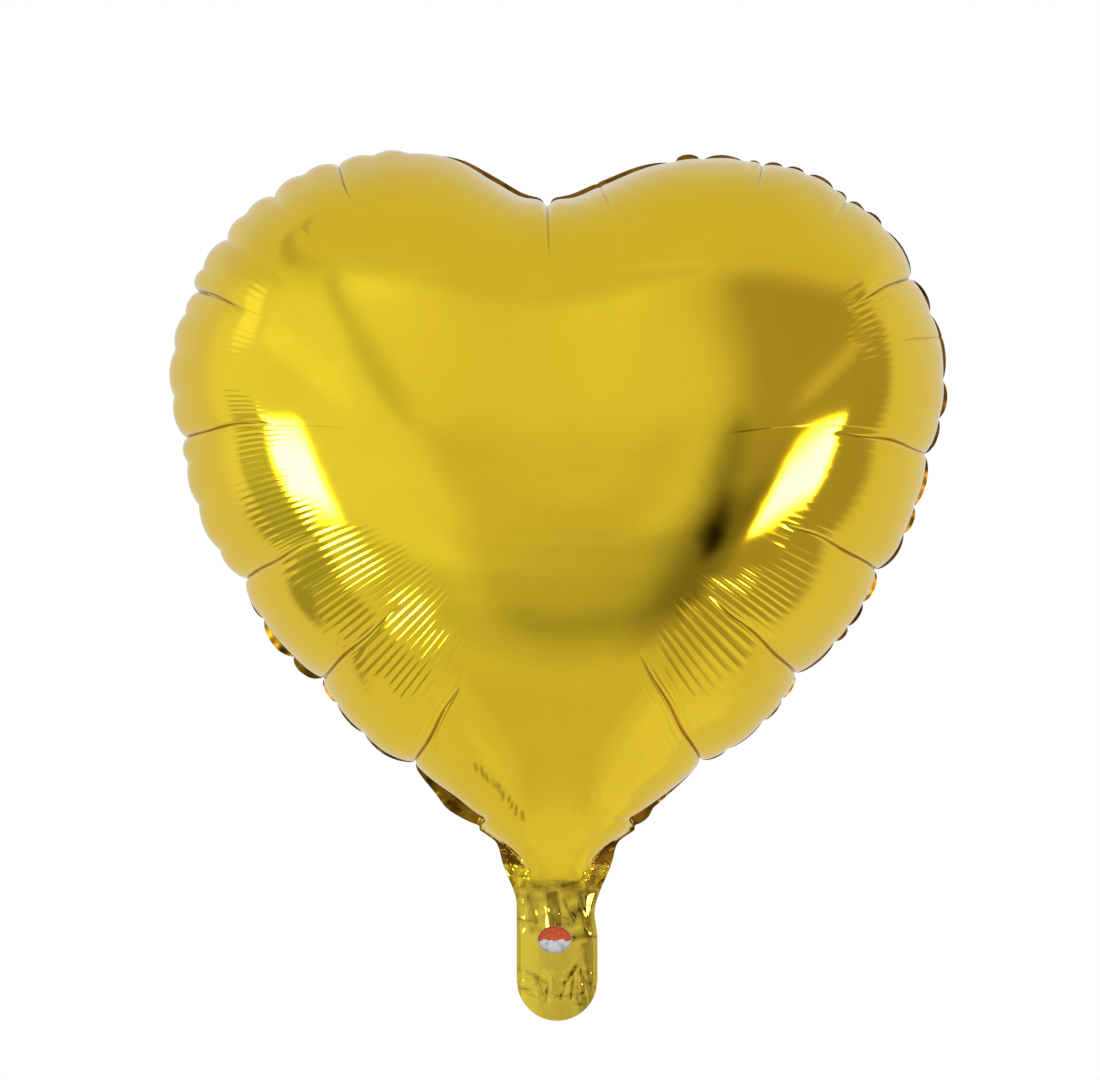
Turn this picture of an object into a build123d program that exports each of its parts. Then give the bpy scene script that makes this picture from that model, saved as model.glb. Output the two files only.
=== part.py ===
from build123d import *
import os
from math import acos, cos, hypot, pi, sin, sqrt

# Heart-shaped foil balloon, blown up. +Z is up and the front looks along -Y.
# The origin is the middle of the tie crease, where the body ends and the tail begins.

# ---- driving dimensions, millimetres ----
LOBE_X, LOBE_Z, LOBE_R = 73.6, 237.6, 112.0     # round lobe of the heart
SIDE_X, SIDE_Z, SIDE_R = -101.4, 288.0, 294.0   # long side running down to the neck
CROWN_Z = 190.0                                 # height of the fullest point of the body
HALF_DEPTH = 82.0                               # crown to seam plane
FULLNESS = 2.9                                  # how late a panel turns down to the seam
SEAM = 5.0                                      # width of the heat-seal band
PANEL = 1.0                                     # thickness of a body panel
STACK = 0.9                                     # half the thickness of the flat film stack
FILM = 0.4                                      # one film in the flat stack
INK, INK_WIDE, INK_TALL = 0.2, 22.0, 20.0       # release print between the valve films
NECK_X, NECK_Z = 31.0, 21.0                     # corner where the side meets the neck
TAIL_X = 19.6                                   # half width of the tail
TAPER_Z = -9.0                                  # where the neck has come in to the tail width
TAIL_Z = -67.0                                  # bottom of the tail
FOLD = 1.5                                      # film left out either side of the crease
VALVE_X = 14.0                                  # half width of the valve films
VALVE_TOP, INLET_BOTTOM = 95.0, -46.0           # ends of the valve, in the body and in the tail
PORT_Z, PORT_A, PORT_B = -28.0, 8.6, 6.2        # inflation port, an oval

STATIONS = 15        # slices across half of the body
SAMPLES = 12         # points along one slice
BEHIND = 3.0         # how far a slice is closed behind the seam plane, before it is cut there


def join_point(inset):
    """Where the round lobe runs smoothly into the long side."""
    slope = acos((LOBE_X - SIDE_X) / (SIDE_R - LOBE_R))
    return LOBE_X + (LOBE_R - inset) * cos(slope), LOBE_Z - (LOBE_R - inset) * sin(slope)


def seam_reach(x, z, inset):
    """Distance from the crown to the seam, in the direction of the point x, z."""
    length = hypot(x, z - CROWN_Z)
    ux, uz = x / length, (z - CROWN_Z) / length
    reaches = []
    for cx, cz, radius in ((LOBE_X, LOBE_Z, LOBE_R), (SIDE_X, SIDE_Z, SIDE_R)):
        along = ux * cx + uz * (cz - CROWN_Z)
        across = ux * (cz - CROWN_Z) - uz * cx
        reaches.append(along + sqrt((radius - inset) ** 2 - across ** 2))
    join_x, join_z = join_point(inset)
    above_join = uz * join_x > ux * (join_z - CROWN_Z)
    return reaches[0] if above_join else reaches[1]


def bulge(x, z, inset, half_depth):
    """How far a panel stands off the seam plane at the point x, z."""
    if hypot(x, z - CROWN_Z) < 0.01:
        return half_depth
    part = min(1.0, hypot(x, z - CROWN_Z) / seam_reach(x, z, inset))
    return half_depth * sqrt(1.0 - part ** FULLNESS)


def slice_face(x, inset, half_depth):
    """One slice of half the front of the body, cut straight up and down at x."""
    top = LOBE_Z + sqrt((LOBE_R - inset) ** 2 - (x - LOBE_X) ** 2)
    drop = sqrt((SIDE_R - inset) ** 2 - (x - SIDE_X) ** 2)
    lobe_bottom = 2 * LOBE_Z - top
    bottom = SIDE_Z - drop if x < join_point(inset)[0] else lobe_bottom
    middle, half = (top + bottom) / 2, (top - bottom) / 2
    points = []
    for step in range(SAMPLES + 1):
        z = middle - half * cos(pi * step / SAMPLES)
        edge = step in (0, SAMPLES)
        points.append((x, 0 if edge else -bulge(x, z, inset, half_depth), z))
    behind = Polyline(points[-1], (x, BEHIND, top), (x, BEHIND, bottom), points[0])
    return Face(Wire([Spline(*points), *behind.edges()]))


def half_dome(inset, half_depth):
    """The solid inside one half of the front of the body, closed a little behind the seam."""
    last = 0.9985 * (LOBE_X + LOBE_R - inset)
    sections = []
    for station in range(STATIONS):
        x = last * sin(pi / 2 * station / (STATIONS - 1))
        sections.append(slice_face(x, inset, half_depth))
    return loft(sections)


def both_sides(*edges):
    """The flat face inside a right-hand outline and its mirror image on the left."""
    with BuildSketch(Plane.XZ) as drawn:
        with BuildLine():
            for edge in edges:
                add(edge)
            mirror(about=Plane.YZ)
        make_face()
    return drawn.sketch


def heart_face(inset):
    """The flat heart, drawn on the seam plane, down to where the two long sides meet."""
    lobe, side = LOBE_R - inset, SIDE_R - inset
    cleft = LOBE_Z + sqrt(lobe ** 2 - LOBE_X ** 2)
    tip = SIDE_Z - sqrt(side ** 2 - SIDE_X ** 2)
    join = join_point(inset)
    low = (60, SIDE_Z - sqrt(side ** 2 - (60 - SIDE_X) ** 2))
    return both_sides(
        ThreePointArc((0, cleft), (LOBE_X + lobe * 0.6, LOBE_Z + lobe * 0.8), join),
        ThreePointArc(join, low, (0, tip)),
    )


def neck_width(z):
    """Half the width of the neck at height z."""
    return TAIL_X + (NECK_X - TAIL_X) * (z - TAPER_Z) / (NECK_Z - TAPER_Z)


def neck_face():
    """The flat neck between the heart and the crease."""
    crease = (neck_width(FOLD), FOLD)
    root = (NECK_X + 29, 42)
    return both_sides(Polyline((0, FOLD), crease, (NECK_X, NECK_Z), root, (0, 42)))


def tail_face():
    """The flat tail below the crease, with its round end."""
    crease = (neck_width(-FOLD), -FOLD)
    round_z = TAIL_Z + TAIL_X
    return both_sides(
        Polyline((0, -FOLD), crease, (TAIL_X, TAPER_Z), (TAIL_X, round_z)),
        ThreePointArc((TAIL_X, round_z), (TAIL_X * 0.8, round_z - TAIL_X * 0.6), (0, TAIL_Z)),
    )


def slab(face, near, far):
    """A flat film of the shape of face, from y = -far to y = -near."""
    return Pos(0, -near, 0) * extrude(face, far - near, dir=(0, -1, 0))


def valve_pocket(bottom, top):
    """Room for the two valve films between the foil films."""
    depth = 2 * (FILM + INK / 2)
    return Pos(0, 0, (bottom + top) / 2) * Box(2 * VALVE_X, depth, top - bottom)


def port(depth):
    """The oval through which the balloon is blown up."""
    oval = Plane.XZ * (Pos(0, PORT_Z) * Ellipse(PORT_A, PORT_B))
    return slab(oval, -depth, depth)


def front_panel():
    """The front foil above the crease: blown-up dome, seal band and flat neck in one film."""
    right_front = Pos(150, -STACK / 2 - 100, 200) * Box(300, 200, 500)
    right = Pos(150, 0, 200) * Box(300, 10, 500)
    half = slab(heart_face(0) + neck_face(), 0, STACK) & right
    half = half + (half_dome(SEAM, HALF_DEPTH) & right_front)
    half = half - half_dome(SEAM + PANEL, HALF_DEPTH - PANEL)
    panel = half + mirror(half, about=Plane.YZ)
    return panel - valve_pocket(FOLD - 1, 34)


def tail_film():
    return slab(tail_face(), 0, STACK) - valve_pocket(INLET_BOTTOM, 0)


def valve_sheet(bottom, top, corner):
    """One valve film, flat against the front foil film, with round corners at its free end."""
    height = top - bottom
    outline = Plane.XZ * (Pos(0, bottom + height / 2) * Rectangle(2 * VALVE_X, height))
    free_z = top if top > 0 else bottom
    ends = [v for v in outline.vertices() if abs(v.Z - free_z) < 0.01]
    return slab(fillet(ends, corner), INK / 2, INK / 2 + FILM)


def release_ink():
    """The heat-proof print that keeps the valve films apart, from mid-port upwards."""
    outline = Plane.XZ * (Pos(0, PORT_Z + INK_TALL / 2) * RectangleRounded(INK_WIDE, INK_TALL, 3))
    return slab(outline, -INK / 2, INK / 2)


def save(name, shape):
    solid = shape.solid()
    solid.label = name
    export_step(solid, "parts/" + name + ".step")


def to_rear(shape):
    return mirror(shape, about=Plane.XZ)


os.makedirs("parts", exist_ok=True)
panel = front_panel()
save("front_panel", panel)
save("rear_panel", to_rear(panel))
inner = valve_sheet(FOLD, VALVE_TOP, 5)
save("valve_front_film", inner)
save("valve_rear_film", to_rear(inner))
foil = tail_film()
save("tail_front_film", foil - port(5))
save("tail_rear_film", to_rear(foil))
inlet = valve_sheet(INLET_BOTTOM, -FOLD, 5)
save("valve_inlet_front", inlet - port(5))
save("valve_inlet_rear", to_rear(inlet))
save("release_ink", release_ink())
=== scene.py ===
import bmesh
import bpy
import numpy as np
from math import radians
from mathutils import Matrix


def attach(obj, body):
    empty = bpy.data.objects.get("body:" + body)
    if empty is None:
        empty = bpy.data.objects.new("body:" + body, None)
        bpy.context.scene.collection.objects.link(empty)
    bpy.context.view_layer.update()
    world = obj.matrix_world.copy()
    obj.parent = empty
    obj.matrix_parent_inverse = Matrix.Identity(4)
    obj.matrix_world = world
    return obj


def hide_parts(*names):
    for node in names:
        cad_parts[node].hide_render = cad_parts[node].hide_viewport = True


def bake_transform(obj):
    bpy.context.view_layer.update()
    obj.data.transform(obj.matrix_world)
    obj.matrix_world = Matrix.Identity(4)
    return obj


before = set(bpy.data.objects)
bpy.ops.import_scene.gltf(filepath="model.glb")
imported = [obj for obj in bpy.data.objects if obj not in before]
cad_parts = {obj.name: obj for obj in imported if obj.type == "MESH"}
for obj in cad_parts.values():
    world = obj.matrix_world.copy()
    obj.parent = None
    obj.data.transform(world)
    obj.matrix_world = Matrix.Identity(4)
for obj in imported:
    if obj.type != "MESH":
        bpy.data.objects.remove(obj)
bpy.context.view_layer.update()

# ---------------------------------------------------------------- sizes, millimetres
LOBE = (73.6, 237.6, 107.0)        # centre and radius of the seam round a lobe
SIDE = (-101.4, 288.0, 289.0)      # centre and radius of the seam down the side
CROWN_Z = 190.0                    # height of the fullest point
DEPTH = 81.0                       # crown to seam plane
NECK_X = 27.5                      # half the width of the film that runs on into the neck
BAND = 5.0                         # width of the seal band
HALF_GAP = 0.12                    # from the seam plane to each flat film
NECK_TOP = 24.9   # height where the seal band meets the neck
ROUND_Z, ROUND_DEEP = -47.4, 19.6  # where the round end of the tail starts, and how far it goes down
PORT = np.array([-1.2, -28.2]), np.array([8.1, 6.6])   # middle and half size of the oval port
TOP_ANGLE = np.arccos(-LOBE[0] / LOBE[2])
JOIN_ANGLE = -np.arccos((LOBE[0] - SIDE[0]) / (SIDE[2] - LOBE[2]))
NECK_ANGLE = -np.arccos((NECK_X - SIDE[0]) / SIDE[2])
LOBE_RUN = (TOP_ANGLE - JOIN_ANGLE) * LOBE[2]
SIDE_RUN = (JOIN_ANGLE - NECK_ANGLE) * SIDE[2]
RUN = LOBE_RUN + SIDE_RUN          # seam from the cleft to the neck

NECK_COLUMNS = 64
SIDE_COLUMNS = 640
DEEP = 1.5                         # a crease deeper than this parts two puffs of the rim

# Deep creases of the rim, as arc length from the cleft, depth at the rim and reach inwards.
RIGHT_CREASES = [(0, 1.1, 34), (30, 1.2, 16), (106, 1.8, 14), (150, 1.9, 10), (197, 3.2, 34), (228, 1.0, 20),
                 (284, 3.0, 46), (344, 3.2, 50), (407, 3.4, 58), (469, 3.4, 60)]
LEFT_CREASES = [(0, 1.1, 34), (112, 2.2, 22), (146, 1.6, 6), (176, 1.6, 6), (204, 3.0, 26), (276, 3.2, 42),
                (350, 3.0, 40), (410, 3.2, 56), (470, 3.4, 44)]
# Fine gathers: arc length from the cleft, strength, and the band they fill inside the rim.
RIGHT_RIBS = np.array([(150, 0, 18, 30), (185, 0.3, 18, 30), (200, 1.5, 19, 38), (222, 1.4, 19, 36),
                       (240, 0.8, 18, 34), (284, 0.8, 16, 38), (338, 1.0, 18, 40), (347, 1.0, 20, 46),
                       (372, 1.0, 22, 50), (395, 1.2, 24, 64), (420, 1.8, 22, 64), (466, 1.4, 24, 52),
                       (480, 0.35, 20, 32), (505, 0, 20, 30)])
LEFT_RIBS = np.array([(170, 0, 18, 30), (205, 0.5, 19, 34), (270, 0.7, 17, 38), (278, 0.9, 13, 40),
                      (344, 0.9, 13, 44), (356, 0.85, 18, 68), (400, 1.3, 20, 72), (420, 1.7, 20, 70),
                      (468, 1.2, 20, 56), (478, 1.5, 12, 24), (505, 1.2, 10, 20), (516, 0, 12, 20)])


def smooth(value, low, high):
    """0 below low, 1 above high, and an easy curve between."""
    part = np.clip((value - low) / (high - low), 0.0, 1.0)
    return part * part * (3.0 - 2.0 * part)


def scatter(creases, seed):
    """Places of the shallow gathers of the seal band, unevenly spaced and clear of the deep creases."""
    rng = np.random.default_rng(seed)
    places, run = [], 55.0
    while run < 450.0:
        run += rng.uniform(9.0, 24.0)
        if all(abs(run - crease[0]) > 7.0 for crease in creases):
            places.append(run)
    return places


def swell(run, sign):
    """How far the gas pushes the film out beyond the seam."""
    if sign > 0:
        full = 4.5 * smooth(run, 45, 175) * (1 - 0.4 * smooth(run, 345, 400))
        lump = 1.5 * np.exp(-((run - 335) / 14) ** 2)
    else:
        full = 2.2 * smooth(run, 0, 55)
        lump = 2.2 * np.exp(-((run - 330) / 40) ** 2) + 1.3 * np.exp(-((run - 460) / 20) ** 2)
    return (full + lump) * (1 - smooth(run, 455, 512))


def seam(run):
    """Seam points and outward directions in the seam plane, for signed run from the cleft."""
    away, side = np.abs(run), np.where(run < 0, -1.0, 1.0)
    on_lobe = away < LOBE_RUN
    angle = np.where(on_lobe, TOP_ANGLE - away / LOBE[2], JOIN_ANGLE - (away - LOBE_RUN) / SIDE[2])
    cx = np.where(on_lobe, LOBE[0], SIDE[0])
    cz = np.where(on_lobe, LOBE[1], SIDE[1])
    radius = np.where(on_lobe, LOBE[2], SIDE[2])
    x = (cx + radius * np.cos(angle)) * side
    z = cz + radius * np.sin(angle)
    return np.stack([x, z], -1), np.stack([np.cos(angle) * side, np.sin(angle)], -1)


def side_runs(creases, fine):
    """Column places from the cleft to the neck, closer together at creases and ribs."""
    fine_run = np.linspace(0.0, RUN, 8000)
    weight = np.full(fine_run.shape, 0.5)
    for low, high in fine:
        weight += 1.1 * smooth(fine_run, low - 8, low + 8) * (1 - smooth(fine_run, high - 8, high + 8))
    for place, _, _ in creases:
        weight += 1.3 * np.exp(-((fine_run - place) / 3.0) ** 2)
    total = np.concatenate([[0.0], np.cumsum((weight[1:] + weight[:-1]) / 2)])
    return np.interp(np.linspace(0, total[-1], SIDE_COLUMNS + 1), total, fine_run)


def columns():
    """All columns in order: down the right side, across the neck, up the left side."""
    right = side_runs(RIGHT_CREASES, [(185, 500)])
    left = side_runs(LEFT_CREASES, [(185, 505)])
    across = np.linspace(1, -1, NECK_COLUMNS + 1)[1:-1]
    run = np.concatenate([right, np.zeros(len(across)), -left[::-1][:-1]])
    neck = np.concatenate([np.full(len(right), 2.0), across, np.full(len(left) - 1, -2.0)])
    return run, neck


RUN_AT, NECK_AT = columns()
COUNT = len(RUN_AT)
IN_NECK = np.abs(NECK_AT) < 1.5
FROM_TIP = np.where(IN_NECK, 0.0, RUN - np.abs(RUN_AT))


def ring_steps():
    """Ring places from the rim (0) to the crown (1), evenly spaced along the bulge."""
    fine = np.linspace(0, 1, 4000) ** 2
    flat = 150 * (1 - fine) ** 2 + 160 * fine * (1 - fine)
    rise = DEPTH * np.sqrt(1 - (1 - fine) ** 2.9)
    along = np.concatenate([[0], np.cumsum(np.hypot(np.diff(flat), np.diff(rise)))])
    spacing = 2.1 + 3.5 * smooth(along, 105, 190)
    index = np.concatenate([[0], np.cumsum(np.diff(along) / ((spacing[1:] + spacing[:-1]) / 2))])
    count = int(index[-1])
    return np.interp(np.linspace(0, index[-1], count + 1), index, fine)


STEPS = ring_steps()


def funnel_half(z):
    """Half the width of the blown-up film below the seam's end, where it narrows to the neck."""
    return 13.5 + (NECK_X - 13.5) * smooth(z, 1, 26)


def half_width(z):
    """Half the width of the blown-up film at height z, sharp and with its bend eased."""
    def sharp(height):
        side = SIDE[0] + np.sqrt(np.maximum(SIDE[2] ** 2 - (SIDE[1] - height) ** 2, 0.0))
        return np.where(height > 29.4, np.maximum(side, NECK_X), funnel_half(height))

    heights = np.arange(-60.0, 270.0, 0.5)
    bell = np.exp(-(np.arange(-24, 25) / 11.0) ** 2)
    eased = np.convolve(np.pad(sharp(heights), 24, mode="edge"), bell / bell.sum(), mode="valid")
    return sharp(z), np.interp(z, heights, eased)


def tip_rise(x, z):
    """Depth of the lower body, a cone that flattens towards the neck."""
    low = np.clip(z, -1.0, 189.0)
    middle = DEPTH * (1 - ((CROWN_Z - low) / 192.5) ** 2.15) ** 1.12
    exact, eased = half_width(z)
    full = 2.0 + 0.7 * smooth(z, 50, 170) + 0.7 * (1 - smooth(z, 25, 60))
    edge = np.clip(np.abs(x / exact), 0, 1)
    inner = np.clip(np.abs(x / eased), 0, 1) ** full
    hold = edge ** 7
    return middle * np.sqrt(np.clip(1 - inner * (1 - hold) - edge ** full * hold, 0, 1))


def cleft_lift(x, z):
    """The film over the cleft puffs up and opens the notch."""
    lift = 9.5 * np.exp(-(x / 10) ** 2) - 1.5 * np.exp(-((np.abs(x) - 30) / 12) ** 2)
    return lift * smooth(z, 255, 318)


def base_film():
    """The smooth blown-up half body: points [column, ring, xyz] with depth positive."""
    rim, out = seam(RUN_AT)
    c = np.clip(NECK_AT, -1, 1)
    edge, edge_out = seam(np.array([RUN]))
    rim[IN_NECK, 0] = NECK_X * c[IN_NECK]
    rim[IN_NECK, 1] = edge[0, 1] - 9.0 * (1 - c[IN_NECK] ** 2)
    inward = -out
    to_crown = np.stack([-rim[:, 0], CROWN_Z - rim[:, 1]], -1)
    to_crown /= np.linalg.norm(to_crown, axis=1)[:, None]
    near_tip = 0.75 * (1 - smooth(FROM_TIP, 0, 90))
    inward = inward * (1 - near_tip[:, None]) + to_crown * near_tip[:, None]
    edge_in = inward[np.flatnonzero(IN_NECK)[0] - 1]
    blend_in = np.stack([edge_in[0] * c, np.full(len(c), edge_in[1])], -1)
    inward[IN_NECK] = blend_in[IN_NECK]
    near_cleft = 1 - smooth(np.where(IN_NECK, 999, np.abs(RUN_AT)), 0, 46)
    inward = inward * (1 - near_cleft[:, None]) + np.array([0, -1.0]) * near_cleft[:, None]
    inward /= np.linalg.norm(inward, axis=1)[:, None]
    round_lobe = 1 - smooth(np.where(IN_NECK, 999, np.abs(RUN_AT)), 120, 330)
    pull = 70.0 - 22.0 * round_lobe - 8.0 * near_cleft - 16.0 * (1 - smooth(FROM_TIP, 0, 90))
    bend = rim + inward * pull[:, None]
    v = STEPS[None, :]
    crown = np.array([0.0, CROWN_Z])
    flat = (rim[:, None] * ((1 - v) ** 2)[..., None] + bend[:, None] * (2 * v * (1 - v))[..., None]
            + crown * (v ** 2)[..., None])
    flat[..., 1] += cleft_lift(flat[..., 0], flat[..., 1])
    x, z = flat[..., 0], flat[..., 1]
    top = 320.0 + 0.40 * np.sqrt(x * x + 400.0)
    span = top - CROWN_Z
    drop = np.clip(top - z, 0, span)
    level = 1 - (np.sqrt(45.0 ** 2 + (span - 90.0) * drop) - 45.0) / (span - 90.0)
    near = np.exp(-(x / 36) ** 2) * smooth(z, 196, 240) * (1 - (1 - v) ** 9)
    share = (1 - v) * (1 - near) + level * near
    rise = DEPTH * np.sqrt(1 - share ** 2.9)
    lower = 1 - smooth(z, 135, 189)
    rise = rise * (1 - lower) + tip_rise(x, z) * lower
    return np.concatenate([flat[..., :1], rise[..., None], flat[..., 1:]], -1)


def normals(grid):
    """Outward directions of a closed fan of columns."""
    along = np.roll(grid, -1, 0) - np.roll(grid, 1, 0)
    inwards = np.gradient(grid, axis=1)
    inwards[:, 0] = grid[:, 1] - grid[:, 0]
    normal = np.cross(along, inwards)
    length = np.linalg.norm(normal, axis=2)[..., None]
    normal = normal / np.maximum(length, 1e-9)
    normal[:, -1] = [0, 1, 0]
    return normal


RIGHT_GATHERS = scatter(RIGHT_CREASES, 3)
LEFT_GATHERS = scatter(LEFT_CREASES, 4)


def puff(run, places, spread):
    """0 on each crease and 1 on the crown of the puff between two creases."""
    stops = np.array([0.0] + list(places) + [RUN + 8])
    k = np.clip(np.searchsorted(stops, run, side="right") - 1, 0, len(stops) - 2)
    part = (run - stops[k]) / (stops[k + 1] - stops[k])
    arch = 1 - np.abs(2 * part - 1) ** spread
    return arch, k, stops[k + 1] - stops[k]


SIDES = ((1, RIGHT_CREASES, RIGHT_GATHERS, RIGHT_RIBS), (-1, LEFT_CREASES, LEFT_GATHERS, LEFT_RIBS))


def column_length(points):
    """Distance from the rim along each column, [column, ring]."""
    steps = np.linalg.norm(np.diff(points, axis=1), axis=2)
    return np.concatenate([np.zeros((COUNT, 1)), np.cumsum(steps, axis=1)], 1)


def on_side(sign):
    """The columns of the right or left side, without the neck."""
    return (np.sign(RUN_AT + 1e-9) == sign) & ~IN_NECK


def rim_puffs(run, sign, creases, gathers, inset, climb):
    """The rim pulled in at each crease and gather, and swollen between them."""
    deep = [crease[0] for crease in creases if crease[1] > DEEP]
    arch, k, length = puff(run, deep, 2.3)
    size = 2.9 * np.clip(length / 62, 0.35, 1.1) * (1 - 0.5 * (k == 0))
    size = size * (1 + 0.5 * smooth(run, 280, 345)) * (1 - smooth(run, RUN - 30, RUN - 2))
    dent = (size * (1 - arch))[:, None] * np.clip(1 - inset / 46, 0, 1) ** 2
    arch, k, length = puff(run, sorted(deep + gathers), 2.0)
    loose = smooth(run, 30, 90) * (1 - smooth(run, 330, 390)) * (sign < 0)
    bumpy = smooth(run, 55, 80) * (1 - smooth(run, 190, 230)) * (sign > 0)
    size = (0.45 + 0.55 * loose + 0.4 * bumpy) * np.clip(length / 18, 0.5, 1.2)
    dent += (size * (1 - arch))[:, None] * np.exp(-(climb / 13) ** 2)
    bulge = (0.9 + 2.6 * loose) * smooth(run, 4, 30) * (1 - smooth(run, 470, 515)) * (0.7 + 0.3 * arch)
    dent -= bulge[:, None] * climb / 8 * np.exp(1 - climb / 8)
    dent += (0.6 + 0.6 * loose)[:, None] * np.exp(-climb / 6)
    dent -= swell(run, sign)[:, None] * np.exp(-(climb / 30) ** 2)
    return dent


def press_creases(run, creases, inset, dent, crease_shade):
    """Adds the deep creases to the dent and to the painted crease shade, with ripples beside them."""
    for place, depth, reach in creases:
        path = place + 0.55 * np.sin(inset / 5.0 + place) * smooth(inset, 0, 6) * (place > 0)
        off = np.abs(run[:, None] - path)
        width = 0.75 + 0.6 * smooth(inset, 4, 30)
        far = np.clip(1 - inset / reach, 0, 1) ** 0.7
        dent += 0.5 * depth * np.exp(-off / width) * far
        # painted shade: a thin dark line along each deep crease, darkening the colour there
        shade_line = np.exp(-(off / 0.45) ** 2) * smooth(reach - inset, 0, 12) * min(depth / 2.0, 1.0)
        crease_shade[:] = np.maximum(crease_shade, shade_line)
        ripple = 0.14 * depth * np.cos(off * 2 * np.pi / 4.2) * np.exp(-off / 4.0)
        dent += ripple * far * smooth(inset, 6, 18)


def fine_ribs(run, sign, ribs, inset):
    """The fine gathers that fill a band inside the rim."""
    wave = 5.3 - 1.7 * (1 - smooth(run, 345, 420)) * (sign < 0)
    wave = wave * (1 + 0.16 * np.sin(run / 23 + sign) + 0.1 * np.sin(run / 9.1))
    phase = np.cumsum(np.concatenate([[0], sign * np.diff(run) / wave[1:]]))
    loud = 0.75 + 0.35 * np.sin(run / 7.3 + 2 * sign) * np.sin(run / 17.0)
    rib = np.sin(2 * np.pi * phase) + 0.25 * np.sin(4 * np.pi * phase + 0.6)
    at, power, start, stop = ribs.T
    power, start, stop = (np.interp(run, at, value)[:, None] for value in (power, start, stop))
    start = start + 1.5 * np.sin(run / 3.1)[:, None]
    stop = stop + 3.0 * np.sin(run / 3.7)[:, None]
    band = smooth(inset - start, 0, 6) * (1 - smooth(inset - stop, -9, 5))
    return 0.105 * rib[:, None] * loud[:, None] * power * band


def rim_dent(seed):
    """The smooth film, how far each place is pulled in from it, its distance in and its painted crease shade.
    """
    base = base_film()
    inset, climb = column_length(base[..., [0, 2]]), column_length(base)
    rng = np.random.default_rng(seed)
    dent, crease_shade = np.zeros(inset.shape), np.zeros(inset.shape)
    for sign, creases, gathers, ribs in SIDES:
        here = on_side(sign)
        run = np.abs(RUN_AT[here])
        side_dent = rim_puffs(run, sign, creases, gathers, inset[here], climb[here])
        side_crease_shade = crease_shade[here]
        press_creases(run, creases, inset[here], side_dent, side_crease_shade)
        side_dent += fine_ribs(run, sign, ribs, inset[here])
        dent[here], crease_shade[here] = side_dent, side_crease_shade
    dent += 0.02 * rng.standard_normal(COUNT)[:, None] * smooth(inset, 0, 5) * (1 - smooth(inset, 10, 30))
    return base, dent, inset, crease_shade


def seam_sway():
    """How far the seam sways out of its plane along the rim."""
    run = RUN_AT
    sway = 1.0 * np.sin(run / 31.0 + 0.7) + 0.6 * np.sin(run / 13.0 + 2.0)
    return np.where(IN_NECK, 0.0, sway * smooth(FROM_TIP, 0, 40))


def lopsided(points):
    """The cleft sits a little left of the middle, and the film spreads where the seam ends."""
    x, z = points[..., 0], points[..., 2]
    shift = -4.8 * np.exp(-(x / 55.0) ** 2) * smooth(z, 215, 330)
    out = points.copy()
    wide = 1 + 0.30 * np.exp(-((z - 28.0) / 9.0) ** 2)
    out[..., 0] = x * wide + shift
    return out


def pinches(x, z):
    """A row of short pinches in the film above the left seam, down towards the neck; they also darken the
    colour as painted shade.
    """
    marks = np.zeros(x.shape)
    for k in range(10):
        middle = np.array([-38.5, 54.5]) + k * np.array([2.8, -2.6]) + 0.25 * np.sin(2.3 * k)
        half = np.array([0.5, -1.7]) * (1 + 0.35 * np.sin(1.7 * k))
        marks = np.maximum(marks, fold(x, z, (middle - half, middle + half), 0.8, 0.55))
    return marks


def body_film(front):
    """The film of one side with puffs, creases and ribs, y already on the right side."""
    base, dent, inset, crease_shade = rim_dent(1 if front else 2)
    normal = normals(base)
    film = base - normal * dent[..., None]
    x, z = base[..., 0], base[..., 2]
    mood = 1.0 if front else -1.0
    soft = (0.9 * np.sin(x / 37 + mood) * np.cos(z / 43 - mood) + 0.6 * np.sin(x / 61 - z / 52 + 2 * mood))
    film[..., 1] += soft * smooth(inset, 20, 80)
    lobe_folds = ((((0, 283.5), (66, 288.5)), 0.4, 2.6), (((-60, 285), (-4, 284)), 0.2, 3.0))
    film[..., 1] -= sum(fold(x, z, *lobe_fold) for lobe_fold in lobe_folds)
    if front:
        pinch = pinches(x, z)
        film[..., 1] -= 0.3 * pinch
        # painted shade: the pinches darken the colour along their folds
        crease_shade = np.maximum(crease_shade, pinch)
    film[..., 1] *= -1.0 if front else 1.0
    film[..., 1] += seam_sway()[:, None] * np.clip(1 - inset / 26, 0, 1) ** 2
    return film, crease_shade


def flange_rows(film):
    """The seal band outside the rim, folded back a little and gathered, rows from the rim out."""
    rim = film[:, 0]
    _, out = seam(RUN_AT)
    width = np.full(COUNT, BAND)
    tilt = np.zeros(COUNT)
    for sign, creases, gathers, _ in SIDES:
        here = on_side(sign)
        run = np.abs(RUN_AT[here])
        stops = sorted([crease[0] for crease in creases if crease[1] > DEEP] + gathers)
        arch, k, _ = puff(run, stops, 2.4)
        width[here] = BAND * (0.16 + 0.78 * arch ** 0.7)
        width[here] *= 1 - 0.3 * smooth(run, 60, 100) * (sign > 0)
        thin = smooth(run, 320, 480) if sign > 0 else smooth(run, 406, 414) * (1 - smooth(run, 466, 474))
        width[here] *= 1 - 0.5 * thin
        lean = np.array([0.62, 0.45, 0.5, 0.72, 0.42, 0.55, 0.4])[k % 7]
        hidden = smooth(run, 60, 100) * (1 - smooth(run, 330, 390)) * (sign < 0)
        lean = lean * (1 - hidden) + 1.15 * hidden
        tilt[here] = lean * arch ** 0.5 + 0.25 * (1 - arch)
    fade = smooth(FROM_TIP, 0, 14)
    width = width * fade + BAND * (1 - fade)
    rows = []
    for part in (0.25, 0.5, 0.75, 1.0):
        reach = width * part
        row = rim.copy()
        row[:, 0] += out[:, 0] * reach * np.cos(tilt)
        row[:, 2] += out[:, 1] * reach * np.cos(tilt)
        row[:, 1] += reach * np.sin(tilt) + 0.12 * np.sin(RUN_AT * 0.9) * part
        rows.append(row)
    return np.stack(rows, 1)


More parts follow.
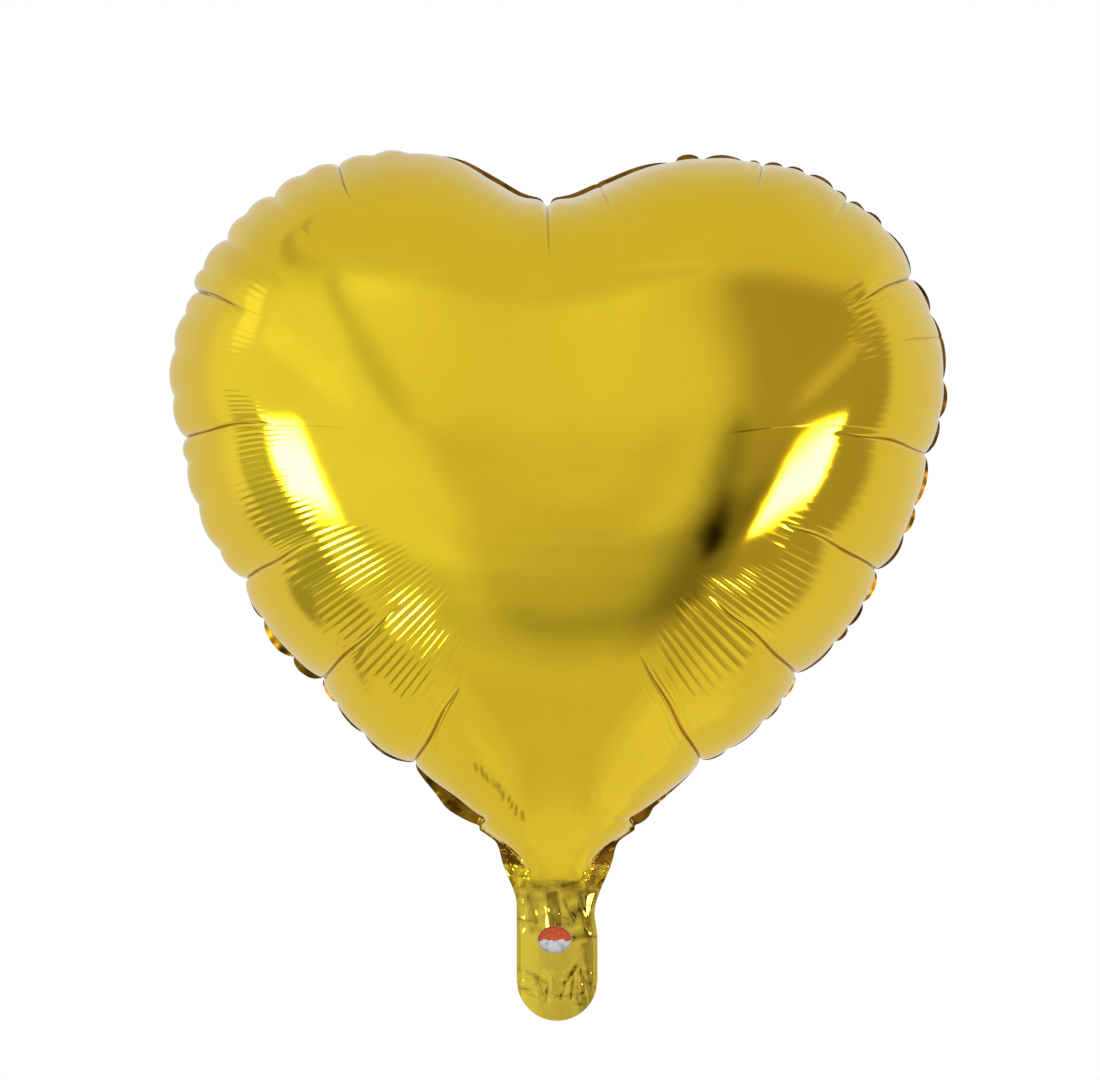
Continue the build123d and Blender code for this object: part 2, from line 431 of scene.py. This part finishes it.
def ridged(x, z, seed, scale):
    """Sharp, foil-like crumple between -1 and 1."""
    rng = np.random.default_rng(seed)
    total = np.zeros(np.shape(x))
    size = 1.0
    for _ in range(4):
        angle, phase, bend = rng.uniform(0, np.pi), rng.uniform(0, 7), rng.uniform(0, 7)
        along = (x * np.cos(angle) + z * np.sin(angle)) / scale
        across = (z * np.cos(angle) - x * np.sin(angle)) / scale
        wave = along + 0.6 * np.sin(across * 0.9 + bend) + phase
        total += size * (2 * np.abs(2 * (wave / 2 - np.floor(wave / 2 + 0.5))) - 1)
        size *= 0.62
        scale *= 0.66
    return total / 2.2


def fold(x, z, ends, depth, width):
    """A straight fold between two points of the tail: out when depth is positive."""
    (x0, z0), (x1, z1) = ends
    dx, dz = x1 - x0, z1 - z0
    part = np.clip(((x - x0) * dx + (z - z0) * dz) / (dx * dx + dz * dz), 0, 1)
    off = np.hypot(x - x0 - part * dx, z - z0 - part * dz)
    return depth * np.exp(-(off / width) ** 1.3)


TAIL_FOLDS = [
    (((8.5, -27.9), (21, -26.6)), -0.9, 0.8),
    (((-21, -41.6), (-14.5, -43.2)), -0.9, 0.9), (((-14.5, -43.2), (-4.0, -49.4)), -0.8, 0.8),
    (((-4.0, -49.4), (-5.2, -58.5)), -0.7, 0.7), (((-18, -46.4), (-9.5, -49.0)), 0.6, 0.7),
    (((-12.2, -44.6), (-9.2, -54.0)), 0.5, 0.6), (((-20, -50.8), (-11.5, -52.8)), -0.4, 0.6),
    (((-8.6, -46.9), (-6.4, -55.5)), -0.5, 0.6), (((-2.6, -47.5), (3.8, -52.6)), 0.4, 0.7),
    (((10.4, -40.6), (4.4, -49.0)), -0.7, 0.8), (((4.4, -49.0), (1.8, -57.2)), -0.6, 0.7),
    (((10.4, -40.6), (12.0, -53.0)), 0.6, 0.6), (((8.2, -44.0), (7.0, -56.4)), -0.6, 0.6),
    (((11.0, -43.6), (16.4, -51.0)), -0.8, 0.7), (((16.4, -51.0), (21, -51.6)), -0.6, 0.8),
    (((12.4, -47.8), (14.2, -58.8)), -0.5, 0.6), (((14.0, -42.0), (21, -45.6)), 0.5, 0.8),
    (((-1.0, -55.6), (13.0, -54.0)), -0.35, 0.7), (((5.6, -53.0), (10.0, -58.8)), 0.4, 0.6),
    (((-5.4, -6.5), (-3.6, -22.5)), 1.9, 1.5), (((1.6, -9.0), (7.6, -19.5)), 0.9, 1.0),
    (((0.2, -6.0), (1.6, -17.0)), -0.9, 1.1), (((11.4, -8.0), (15, -22.0)), -0.9, 1.1),
    (((-13.6, -7.0), (-9.4, -20.0)), -0.8, 1.3), (((7.6, -19.5), (15, -22.0)), 0.7, 0.9),
    (((-18.4, -10.0), (-13.6, -7.0)), 0.7, 1.0), (((17.4, -6.0), (11.4, -8.0)), 0.6, 1.0),
    (((-18.6, -18.5), (-9.4, -20.0)), -0.5, 1.0), (((1.6, -17.0), (7.6, -19.5)), -0.5, 0.9),
    (((-14, -1.0), (-4.5, -3.4)), -1.7, 1.8), (((3.5, -3.6), (10.5, -2.0)), -1.7, 1.6),
    (((-4.5, -4.6), (3.5, -4.8)), 0.7, 1.3), (((-17, -5.2), (-3, -6.0)), 0.5, 1.2),
]


def tail_folds(front):
    """The folds of the front of the tail, or the same ones turned round and moved for the back."""
    for ends, depth, width in TAIL_FOLDS:
        if not front:
            ends = [(-ends[1][0], ends[1][1] + 1.5), (-ends[0][0], ends[0][1] - 1.0)]
        yield ends, depth, width


def neck_outline(z):
    """Left and right edge of the flat film at height z."""
    half = 19.3 + 7.5 * smooth(z, -12, 13) + 3.1 * smooth(z, 18, 25)
    waist = 1.4 * np.exp(-((z + 16.0) / 7.0) ** 2)
    return -half, half - waist


def tail_grid():
    """Columns and flat places of the film from the body to the round end, [column, row, xyz]."""
    first = np.flatnonzero(IN_NECK)[0] - 1
    last = np.flatnonzero(IN_NECK)[-1] + 1
    cols = np.arange(first, last + 1)
    c = np.linspace(1, -1, len(cols))
    top_z = seam(np.array([RUN]))[0][0, 1]
    joining = np.linspace(top_z, NECK_TOP, 5)[1:]
    level = np.concatenate([[top_z], joining, np.arange(24.0, ROUND_Z, -0.85), [ROUND_Z]])
    round_part = np.linspace(0, 1, 26)[1:]
    rows = len(level) + len(round_part)
    grid = np.zeros((len(cols), rows, 3))
    for r in range(rows):
        z = level[min(r, len(level) - 1)]
        left, right = neck_outline(z)
        if r < 5:
            left, right = -NECK_X - 2.4 * r / 4, NECK_X + 2.4 * r / 4
        middle, half = (left + right) / 2, (right - left) / 2
        grid[:, r, 0] = middle + half * c
        grid[:, r, 2] = z - 9.0 * (1 - c ** 2) * max(z, 0) / top_z
        if r >= len(level):
            part = round_part[r - len(level)]
            grid[:, r, 2] = ROUND_Z - part * ROUND_DEEP * np.sqrt(np.clip(1 - c ** 2, 0, 1))
    return cols, c, grid


def tail_relief(x, z, c, front):
    """Depth of the neck and tail with their folds, facets and crumples."""
    pillow = 0.15 + 1.3 * np.clip(1 - (c[:, None] / 0.86) ** 2, 0, 1) ** 0.6
    y = np.maximum(tip_rise(x, z), pillow * (1 - smooth(z, 2, 18)))
    seed = 11 if front else 23
    y = y + 0.05 * ridged(x, z, seed + 1, 7.0) * (1 - smooth(z, -4, 6))
    patchy = np.clip(0.75 + 0.5 * ridged(x, z, seed + 9, 5.0), 0.25, 1.1)
    patchy = np.where(z > -30, 1.0, patchy)
    for ends, depth, width in tail_folds(front):
        inside = smooth(1 - np.abs(c[:, None]), 0.0, 0.1)
        y = y + fold(x, z, ends, depth * 0.5, width) * (0.35 + 0.65 * inside) * patchy
    facet = smooth(z, -27, -22) * (1 - smooth(z, -6, -1)) * smooth(1 - np.abs(c[:, None]), 0.05, 0.3)
    y = y + (0.75 * ridged(x, z, seed + 4, 12.0) + 0.6) * facet
    crumple = smooth(z, -60, -53) * (1 - smooth(z, -46, -39)) * smooth(1 - np.abs(c[:, None]), 0.02, 0.2)
    y = y + 0.22 * ridged(x + 0.4 * z, z, seed + 6, 4.5) * crumple
    tube = (1 - smooth(np.abs(x), 14.5, 16.5)) * smooth(z, -47, -44)
    return np.maximum(y, HALF_GAP + 0.3 * tube)


def tail_film(film, flange, front):
    """The film from the body through the crease to the round end, joined to body and seal band."""
    cols, c, grid = tail_grid()
    x, z = grid[..., 0], grid[..., 2]
    y = tail_relief(x, z, c, front)
    beside = np.abs(x) - funnel_half(z)
    loose = smooth(z, -7, 3) * (1 - smooth(z, 22, 29)) * smooth(beside, -1.5, 2.0)
    lean = 0.62 * np.maximum(beside, 0) + 1.7 * ridged(x, z, 5, 5.0) + 0.9 * ridged(x, z, 8, 2.6)
    grid[..., 1] = (-y if front else y) + lean * loose
    steps = np.diff(grid[:, :, [0, 2]], axis=1, prepend=grid[:, :1, [0, 2]])
    away = np.cumsum(np.linalg.norm(steps, axis=2), 1)
    grid[..., 1] += (film[cols, 0, 1] - grid[:, 0, 1])[:, None] * (1 - smooth(away, 0, 9))
    grid[:, 0] = film[cols, 0]
    for k in range(4):
        grid[0, k + 1] = flange[cols[0], k]
        grid[-1, k + 1] = flange[cols[-1], k]
    return cols, grid


def painted_fold_shade(tail, front):
    """Painted shade of the tail: how dark the film is along its folds, in a band above the port, on the neck
    flanges and under the crease.
    """
    x, z = tail[..., 0], tail[..., 2]
    dark = np.zeros(x.shape)
    # painted shade along each fold of the tail
    for ends, depth, width in tail_folds(front):
        dark = np.maximum(dark, fold(x, z, ends, 0.75 if depth < 0 else 0.2, width * 0.75))
    patchy = np.clip(0.6 + 0.7 * ridged(x, z, 20, 5.0), 0.1, 1.0)
    dark = dark * np.where(z > -30, 1.0, patchy)
    # painted shade: a dark band over the upper tail, above the port
    upper_shade = smooth(z, -25, -14) * (1 - smooth(z, -2, 3)) * np.clip(0.30 + 0.5 * ridged(x, z, 33, 7.0), 0, 0.6)
    # painted shade on the crumpled neck flanges beside the funnel
    beside = smooth(np.abs(x) - funnel_half(z), 0.0, 2.0) * smooth(z, -8, -2) * (1 - smooth(z, 10, 15))
    flange_shade = beside * np.clip(0.45 + 0.5 * ridged(x, z, 34, 4.0), 0, 0.9)
    # painted shadow in the tuck just under the crease between body and tail
    tuck_shadow = np.exp(-((z + 2.8) / 2.0) ** 2) * (1 - smooth(np.abs(x), 10, 15))
    tuck_shadow = tuck_shadow * (0.7 + 0.3 * ridged(x, z, 35, 3.0))
    return np.maximum.reduce([dark, upper_shade if front else 0.5 * upper_shade, flange_shade, tuck_shadow])


FREE, SEALED = 0, 1                # material of a face: the free film or the seal band


class Sheet:
    """Points, faces, materials and painted crease shade of one film, put together block by block."""

    def __init__(self):
        self.points, self.faces, self.kinds, self.marks = [], [], [], []
        self.count = 0

    def put(self, block, dark):
        """Adds a block of points and gives their numbers in the block's own shape."""
        flat = block.reshape(-1, 3)
        self.points.append(flat)
        # the mark of each point is its painted crease shade
        self.marks.append(np.broadcast_to(dark, block.shape[:-1]).reshape(-1))
        ids = self.count + np.arange(len(flat)).reshape(block.shape[:-1])
        self.count += len(flat)
        return ids

    def face(self, kind, *corners):
        self.faces.append(corners)
        self.kinds.append(kind)


def body_faces(sheet, ids):
    """The body from the rim inwards, with half as many columns after each of three cuts."""
    rings = ids.shape[1]
    cuts = [0] + [int(np.searchsorted(STEPS, part)) for part in (0.50, 0.68, 0.85)] + [rings - 1]
    for level in range(4):
        columns = ids[::2 ** level]
        for ring in range(cuts[level], cuts[level + 1]):
            a, b = columns[:, ring], columns[:, ring + 1]
            if ring + 1 < cuts[level + 1] or level == 3:
                for corners in zip(a, np.roll(a, -1), np.roll(b, -1), b):
                    sheet.face(FREE, *corners)
            else:
                halve_columns(sheet, a, b)


def halve_columns(sheet, a, b):
    """Joins a ring to the next one, which uses every second column."""
    for i in range(0, len(a), 2):
        j, k = (i + 1) % len(a), (i + 2) % len(a)
        sheet.face(FREE, a[i], a[j], b[i])
        sheet.face(FREE, a[j], b[k], b[i])
        sheet.face(FREE, a[j], a[k], b[k])


def crown_faces(sheet, ring, crown):
    """The fan of faces round the crown."""
    for start, end in zip(ring, np.roll(ring, -1)):
        sheet.face(FREE, start, end, crown)


def band_faces(sheet, ids, band):
    """The seal band outside the rim."""
    following = (np.arange(COUNT) + 1) % COUNT
    for i in np.flatnonzero(~IN_NECK & ~IN_NECK[following]):
        j = following[i]
        sheet.face(SEALED, ids[i, 0], band[i, 0], band[j, 0], ids[j, 0])
        for k in range(band.shape[1] - 1):
            sheet.face(SEALED, band[i, k], band[i, k + 1], band[j, k + 1], band[j, k])


def tail_faces(sheet, strip, sealed):
    """The neck and tail, sealed beside the neck where both films meet."""
    for i in range(strip.shape[0] - 1):
        for r in range(strip.shape[1] - 1):
            kind = SEALED if sealed[i, r] and sealed[i + 1, r + 1] else FREE
            sheet.face(kind, strip[i, r], strip[i, r + 1], strip[i + 1, r + 1], strip[i + 1, r])


def film_mesh(front):
    """One foil film: body, seal band, neck and tail in one sheet."""
    film, crease_shade = body_film(front)
    flange = flange_rows(film)
    flange[..., 1] += -HALF_GAP if front else HALF_GAP
    cols, tail = tail_film(film, flange, front)
    beside = np.abs(tail[..., 0]) - funnel_half(tail[..., 2])
    sealed = (beside > 0.2) & (tail[..., 2] > 7)
    film, flange, tail = lopsided(film), lopsided(flange), lopsided(tail)
    sheet = Sheet()
    ids = sheet.put(film[:, :-1], crease_shade[:, :-1])
    body_faces(sheet, ids)
    crown_faces(sheet, ids[::8, -1], sheet.put(film[:1, -1:], 0.0)[0, 0])
    band = sheet.put(flange, 0.0)
    band_faces(sheet, ids, band)
    strip = sheet.put(tail, painted_fold_shade(tail, front))
    strip[:, 0] = ids[cols, 0]
    strip[0, 1:5] = band[cols[0]]
    strip[-1, 1:5] = band[cols[-1]]
    tail_faces(sheet, strip, sealed)
    return np.concatenate(sheet.points), sheet.faces, sheet.kinds, np.concatenate(sheet.marks)


def make_piece(name, points, faces, *materials, kinds=None, marks=None):
    """A mesh object from points in millimetres, with the painted crease shade and painted tail shade its
    material reads.
    """
    mesh = bpy.data.meshes.new(name)
    mesh.from_pydata((points * 0.001).tolist(), [], [tuple(int(i) for i in f) for f in faces])
    for material in materials:
        mesh.materials.append(material)
    if marks is not None:
        mesh.attributes.new("crease", "FLOAT", "POINT").data.foreach_set("value", marks)
        # painted shade: the tail below the crease gets a darker gold
        tail_shade = 1 - smooth(points[:, 2], -6, 2)
        mesh.attributes.new("tail_shade", "FLOAT", "POINT").data.foreach_set("value", tail_shade)
    if kinds is not None:
        mesh.polygons.foreach_set("material_index", kinds)
    piece = bpy.data.objects.new(name, mesh)
    bpy.context.scene.collection.objects.link(piece)
    mesh.polygons.foreach_set("use_smooth", [True] * len(mesh.polygons))
    return piece


def cut_port(points, faces, centre, half):
    """Takes out the faces inside the oval port and pulls its edge onto the oval."""
    place = (points[:, [0, 2]] - centre) / half
    reach = np.hypot(place[:, 0], place[:, 1])
    keep = [k for k, f in enumerate(faces) if np.mean(reach[list(f)]) > 1.0]
    kept = set(keep)
    gone = {i for k, f in enumerate(faces) if k not in kept for i in f}
    rim = sorted(gone & {i for k in keep for i in faces[k]})
    for i in rim:
        points[i, [0, 2]] = centre + half * place[i] / reach[i]
    return points, [faces[k] for k in keep], keep


def tidy(piece):
    """Drops unused points and closes doubled ones."""
    work = bmesh.new()
    work.from_mesh(piece.data)
    bmesh.ops.remove_doubles(work, verts=work.verts, dist=1e-6)
    bmesh.ops.dissolve_degenerate(work, dist=1e-7, edges=work.edges)
    loose = [v for v in work.verts if not v.link_faces]
    bmesh.ops.delete(work, geom=loose, context="VERTS")
    bmesh.ops.recalc_face_normals(work, faces=work.faces)
    work.to_mesh(piece.data)
    work.free()
    piece.data.polygons.foreach_set("use_smooth", [True] * len(piece.data.polygons))


# ---------------------------------------------------------------- materials
def new_material(name):
    material = bpy.data.materials.new(name)
    material.use_nodes = True
    nodes = material.node_tree.nodes
    return material, nodes, material.node_tree.links, nodes["Principled BSDF"]


class Finish:
    """A material and short ways to add the nodes that all of them use."""

    def __init__(self, name, **settings):
        self.material, self.nodes, self.links, self.shader = new_material(name)
        self.place = self.nodes.new("ShaderNodeTexCoord")
        for setting, value in settings.items():
            self.shader.inputs[setting.replace("_", " ")].default_value = value

    def into(self, socket, output):
        self.links.new(output, self.shader.inputs[socket])

    def noise(self, scale, detail):
        node = self.nodes.new("ShaderNodeTexNoise")
        node.inputs["Scale"].default_value = scale
        node.inputs["Detail"].default_value = detail
        self.links.new(self.place.outputs["Object"], node.inputs["Vector"])
        return node.outputs["Fac"]

    def tones(self, fac, *stops):
        """Two colours, each with its place on the ramp."""
        node = self.nodes.new("ShaderNodeValToRGB")
        for element, (position, colour) in zip(node.color_ramp.elements, stops):
            element.color = (*colour, 1)
            element.position = position
        self.links.new(fac, node.inputs["Fac"])
        return node.outputs["Color"]

    def spread(self, value, low, high):
        node = self.nodes.new("ShaderNodeMapRange")
        node.inputs["To Min"].default_value = low
        node.inputs["To Max"].default_value = high
        self.links.new(value, node.inputs["Value"])
        return node.outputs["Result"]

    def mark(self, name):
        """A value stored on the points of the mesh."""
        node = self.nodes.new("ShaderNodeAttribute")
        node.attribute_name = name
        return node.outputs["Fac"]

    def mix(self, fac, base, colour):
        node = self.nodes.new("ShaderNodeMix")
        node.data_type = "RGBA"
        node.inputs["B"].default_value = (*colour, 1)
        self.links.new(fac, node.inputs["Factor"])
        self.links.new(base, node.inputs["A"])
        return node.outputs["Result"]

    def bump(self, height, strength, distance):
        node = self.nodes.new("ShaderNodeBump")
        node.inputs["Strength"].default_value = strength
        node.inputs["Distance"].default_value = distance
        self.links.new(height, node.inputs["Height"])
        return node.outputs["Normal"]


def gold_foil():
    """Gold metallised film under a thin clear coat, with painted shade: a darker gold on the tail and dark
    brown along its creases.
    """
    foil = Finish("gold_foil", Metallic=1.0, Coat_Roughness=0.03, Coat_IOR=1.45)
    crease = foil.mark("crease")
    gold = foil.tones(foil.noise(14.0, 3.0), (0.35, (0.92, 0.645, 0.0)), (0.65, (0.97, 0.69, 0.004)))
    # painted shade: darker gold on the tail
    tail_shaded = foil.mix(foil.mark("tail_shade"), gold, (0.80, 0.585, 0.032))
    # painted shade: dark brown colour and less coat along the creases and folds
    foil.into("Base Color", foil.mix(crease, tail_shaded, (0.22, 0.115, 0.008)))
    foil.into("Coat Weight", foil.spread(crease, 0.9, 0.1))
    foil.into("Roughness", foil.spread(foil.noise(60.0, 4.0), 0.05, 0.13))
    foil.into("Normal", foil.bump(foil.noise(35.0, 2.0), 0.12, 0.001))
    return foil.material


def seal_band():
    """The pressed seam of two films, duller than the free film; its dark brown colour is partly the seam's
    own tone and partly painted shade.
    """
    seal = Finish("gold_seal", Metallic=1.0)
    grain = seal.noise(90.0, 3.0)
    # dark brown seam colour: the seam's own tone, darkened further as painted shade
    seal.into("Base Color", seal.tones(grain, (0.36, (0.075, 0.03, 0.002)), (0.66, (0.38, 0.19, 0.010))))
    seal.into("Roughness", seal.spread(grain, 0.24, 0.42))
    return seal.material


def valve_film():
    """Milky, glossy film of the filling tube."""
    film = Finish("valve_film", Metallic=0.25, Coat_Weight=0.5, Coat_Roughness=0.05)
    cloud = film.noise(260.0, 3.0)
    film.into("Base Color", film.tones(cloud, (0.34, (0.50, 0.53, 0.60)), (0.52, (0.88, 0.88, 0.90))))
    film.into("Roughness", film.spread(cloud, 0.18, 0.36))
    return film.material


def release_ink():
    """Speckled orange-red print."""
    ink = Finish("release_ink")
    dots = ink.noise(700.0, 4.0)
    ink.into("Base Color", ink.tones(dots, (0.3, (0.62, 0.045, 0.008)), (0.7, (0.90, 0.16, 0.02))))
    ink.into("Roughness", ink.spread(dots, 0.3, 0.55))
    return ink.material


# ---------------------------------------------------------------- light
class Light:
    """Builds the studio light out of plain soft areas, given by angle across and angle up."""

    def __init__(self, world):
        world.use_nodes = True
        self.nodes, self.links = world.node_tree.nodes, world.node_tree.links
        self.nodes.clear()
        place = self.nodes.new("ShaderNodeTexCoord")
        split = self.nodes.new("ShaderNodeSeparateXYZ")
        self.links.new(place.outputs["Generated"], split.inputs[0])
        x, y, z = split.outputs
        turn = 180 / np.pi
        self.across = self.math("MULTIPLY", self.math("ARCTAN2", x, self.math("MULTIPLY", y, -1.0)), turn)
        self.up = self.math("MULTIPLY", self.math("ARCSINE", z), turn)

    def math(self, kind, a, b=0.0):
        node = self.nodes.new("ShaderNodeMath")
        node.operation = kind
        for slot, value in ((0, a), (1, b)):
            if isinstance(value, (int, float)):
                node.inputs[slot].default_value = value
            else:
                self.links.new(value, node.inputs[slot])
        return node.outputs[0]

    def ease(self, value, low, high):
        node = self.nodes.new("ShaderNodeMapRange")
        node.interpolation_type = "SMOOTHSTEP"
        self.links.new(value, node.inputs["Value"])
        node.inputs["From Min"].default_value = low
        node.inputs["From Max"].default_value = high
        return node.outputs["Result"]

    def less(self, value, low, high):
        return self.math("SUBTRACT", 1.0, self.ease(value, low, high))

    def area(self, left, right, low, high, soft, shear=0.0):
        """A soft-edged patch between two angles across and two angles up."""
        up = self.math("ADD", self.up, self.math("MULTIPLY", self.math("SUBTRACT", self.across, left), shear))
        sides = self.math("MULTIPLY", self.ease(self.across, left - soft, left + soft),
                          self.less(self.across, right - soft, right + soft))
        level = self.math("MULTIPLY", self.ease(up, low - soft, low + soft),
                          self.less(up, high - soft, high + soft))
        return self.math("MULTIPLY", sides, level)

    def streak(self, start, end, width):
        """A soft band from one direction to another."""
        dx, dy = end[0] - start[0], end[1] - start[1]
        length = float(np.hypot(dx, dy))
        x = self.math("SUBTRACT", self.across, float(start[0]))
        y = self.math("SUBTRACT", self.up, float(start[1]))
        off = self.math("SUBTRACT", self.math("MULTIPLY", y, dx / length),
                        self.math("MULTIPLY", x, dy / length))
        along = self.math("ADD", self.math("MULTIPLY", x, dx / length ** 2),
                          self.math("MULTIPLY", y, dy / length ** 2))
        ends = self.math("MULTIPLY", self.ease(along, 0.0, 0.2), self.less(along, 0.8, 1.0))
        return self.math("MULTIPLY", ends, self.less(self.math("ABSOLUTE", off), 0.0, width))


def light_changes(light):
    """Places in the surroundings, each with how much brighter or dimmer than the plain level it is."""
    return [
        (light.area(-100, 0, -26, 28, 8.0), 0.10),
        (light.area(12, 84, -42, 28, 6.0), -0.30),
        (light.area(-100, -55, -42, -27, 4.0), -0.35),
        (light.area(-45, 12, -42, -27, 6.0), -0.15),
        (light.ease(light.up, 25, 37), -0.05),
        (light.streak((-4, -3), (-32, 34), 4.0), -0.22),
        (light.streak((-18, 24), (-100, 58), 7.0), -0.16),
        (light.streak((-60, 18), (-14, 1), 8.0), 0.12),
        (light.streak((-60, 38), (-4, 22), 6.0), 0.12),
        (light.streak((24, -2), (76, 20), 5.0), 0.20),
        (light.area(-79, -62, 12, 30, 3.0), 0.22),
        (light.streak((10, 3), (24, -25), 4.5), -0.22),
        (light.area(-8, 30, -34, -9, 5.0), -0.20),
        (light.area(-5, 5, -9, 1, 2.5), -0.14),
        (light.area(-86, -63, -27, -11, 2.5), -0.28),
        (light.area(-30, 32, -69, -46, 4.0), -0.075),
        (light.less(light.up, -75, -69), 0.07),
        (light.area(44, 100, -66, -50, 6.0), 0.10),
        (light.area(-58, -44, -68, -59, 4.0), 0.06),
        (light.area(-61, -42, -23, -13, 2.8, -0.12), 22.0),
        (light.area(33, 54, -20, -10.5, 2.6), 22.0),
    ]


def world_light():
    """Plain soft studio light: brighter on the left, dimmer on the right and low down, two lamps."""
    world = bpy.data.worlds.new("studio")
    bpy.context.scene.world = world
    light = Light(world)
    level = 0.70
    for shape, amount in light_changes(light):
        level = light.math("ADD", level, light.math("MULTIPLY", shape, amount))
    nodes, links = light.nodes, light.links
    glow = nodes.new("ShaderNodeBackground")
    tint = nodes.new("ShaderNodeCombineColor")
    tint.inputs["Red"].default_value = 1.0
    tint.inputs["Blue"].default_value = 0.98
    fresh = light.math("MULTIPLY", light.area(-90, -10, -40, 35, 10.0), 0.07)
    warm = light.math("MULTIPLY", light.area(15, 86, -40, 35, 8.0), -0.08)
    green = light.math("ADD", 0.98, light.math("ADD", fresh, warm))
    links.new(green, tint.inputs["Green"])
    links.new(tint.outputs["Color"], glow.inputs["Color"])
    links.new(level, glow.inputs["Strength"])
    seen = nodes.new("ShaderNodeBackground")
    seen.inputs["Color"].default_value = (1, 1, 1, 1)
    path = nodes.new("ShaderNodeLightPath")
    choose = nodes.new("ShaderNodeMixShader")
    links.new(path.outputs["Is Camera Ray"], choose.inputs[0])
    links.new(glow.outputs[0], choose.inputs[1])
    links.new(seen.outputs[0], choose.inputs[2])
    out = nodes.new("ShaderNodeOutputWorld")
    links.new(choose.outputs[0], out.inputs["Surface"])


def camera():
    """A long lens three metres in front of the balloon, looking up by a degree and a half."""
    data = bpy.data.cameras.new("camera")
    data.sensor_width = 36.0
    data.lens = 205.1
    view = bpy.data.objects.new("camera", data)
    bpy.context.scene.collection.objects.link(view)
    aim = np.array([-0.0034, 0.0, 0.1627])
    far, lift = 3.0, radians(-1.5)
    view.location = aim + far * np.array([0.0, -np.cos(lift), np.sin(lift)])
    view.rotation_euler = (radians(90) + (-lift), 0, 0)
    bpy.context.scene.camera = view


def floor():
    """A pale floor half a metre below the frame's origin, not seen in the balloon's reflections."""
    mesh = bpy.data.meshes.new("floor")
    size, z = 3.0, -0.5
    corners = [(-size, -size, z), (size, -size, z), (size, size, z), (-size, size, z)]
    mesh.from_pydata(corners, [], [(0, 1, 2, 3)])
    material, _, _, shader = new_material("floor")
    shader.inputs["Base Color"].default_value = (0.82, 0.82, 0.81, 1)
    shader.inputs["Roughness"].default_value = 0.8
    shader.inputs["Emission Color"].default_value = (1, 1, 1, 1)
    shader.inputs["Emission Strength"].default_value = 0.40
    mesh.materials.append(material)
    piece = bpy.data.objects.new("floor", mesh)
    bpy.context.scene.collection.objects.link(piece)
    piece.visible_glossy = False


def grid_faces(columns, rows):
    """The faces of a plain grid of points, column by column."""
    return [(i * rows + j, (i + 1) * rows + j, (i + 1) * rows + j + 1, i * rows + j + 1)
            for i in range(columns - 1) for j in range(rows - 1)]


def tube_film(front):
    """One film of the flat filling tube that hangs from the tail up into the body."""
    across = np.linspace(-13, 13, 53)
    level = np.concatenate([np.linspace(92, 2, 60), np.linspace(2, -45.5, 110)[1:]])
    x, z = np.meshgrid(across, level, indexing="ij")
    side = -1.0 if front else 1.0
    open_part = smooth(z, 25, 60)
    y = 0.1 + 0.09 * ridged(x, z, 31 if front else 32, 6.0)
    y = np.clip(y, 0.04, 0.3) + open_part * 2.2 * (1 - (x / 13) ** 2)
    points = np.stack([x, side * y, z], -1)
    points[..., 1] += 2.5 * np.sin((z - 25) / 22) * open_part
    return points.reshape(-1, 3), grid_faces(len(across), len(level))


def ink_patch():
    """The printed patch that keeps the tube open, with a ragged lower edge across the port."""
    across = np.linspace(-10.5, 10.5, 61)
    ragged = -28.6 + 0.55 * ridged(across, across * 0.3, 44, 2.4) + 0.35 * np.sin(across * 0.9)
    part = np.linspace(0, 1, 25)
    z = ragged[:, None] + part[None] * (-8.5 - ragged[:, None])
    x = np.repeat(across[:, None], len(part), 1)
    y = -0.02 + 0.015 * ridged(x, z, 45, 3.0)
    points = np.stack([x, y, z], -1).reshape(-1, 3)
    return points, grid_faces(len(across), len(part))


camera()
world_light()
floor()
bpy.context.scene.view_settings.view_transform = "Standard"
gold = gold_foil()

seal = seal_band()
points, faces, kinds, marks = film_mesh(True)
points, faces, keep = cut_port(points, faces, *PORT)
front_foil = make_piece("front_foil", points, faces, gold, seal, kinds=[kinds[k] for k in keep], marks=marks)
points, faces, kinds, marks = film_mesh(False)
rear_foil = make_piece("rear_foil", points, faces, gold, seal, kinds=kinds, marks=marks)
for piece in (front_foil, rear_foil):
    tidy(piece)
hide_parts("front_panel", "tail_front_film")
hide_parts("rear_panel", "tail_rear_film")
for piece in (front_foil, rear_foil):
    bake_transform(piece)
film = valve_film()
points, faces = tube_film(True)
points, faces, _ = cut_port(points, faces, PORT[0], PORT[1] * 0.97)
tube_front = make_piece("valve_tube_front", points, faces, film)
tube_rear = make_piece("valve_tube_rear", *tube_film(False), film)
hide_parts("valve_front_film", "valve_inlet_front")
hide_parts("valve_rear_film", "valve_inlet_rear")
for piece in (tube_front, tube_rear):
    tidy(piece)
    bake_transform(piece)
ink = make_piece("release_print", *ink_patch(), release_ink())
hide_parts("release_ink")
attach(ink, "tail")
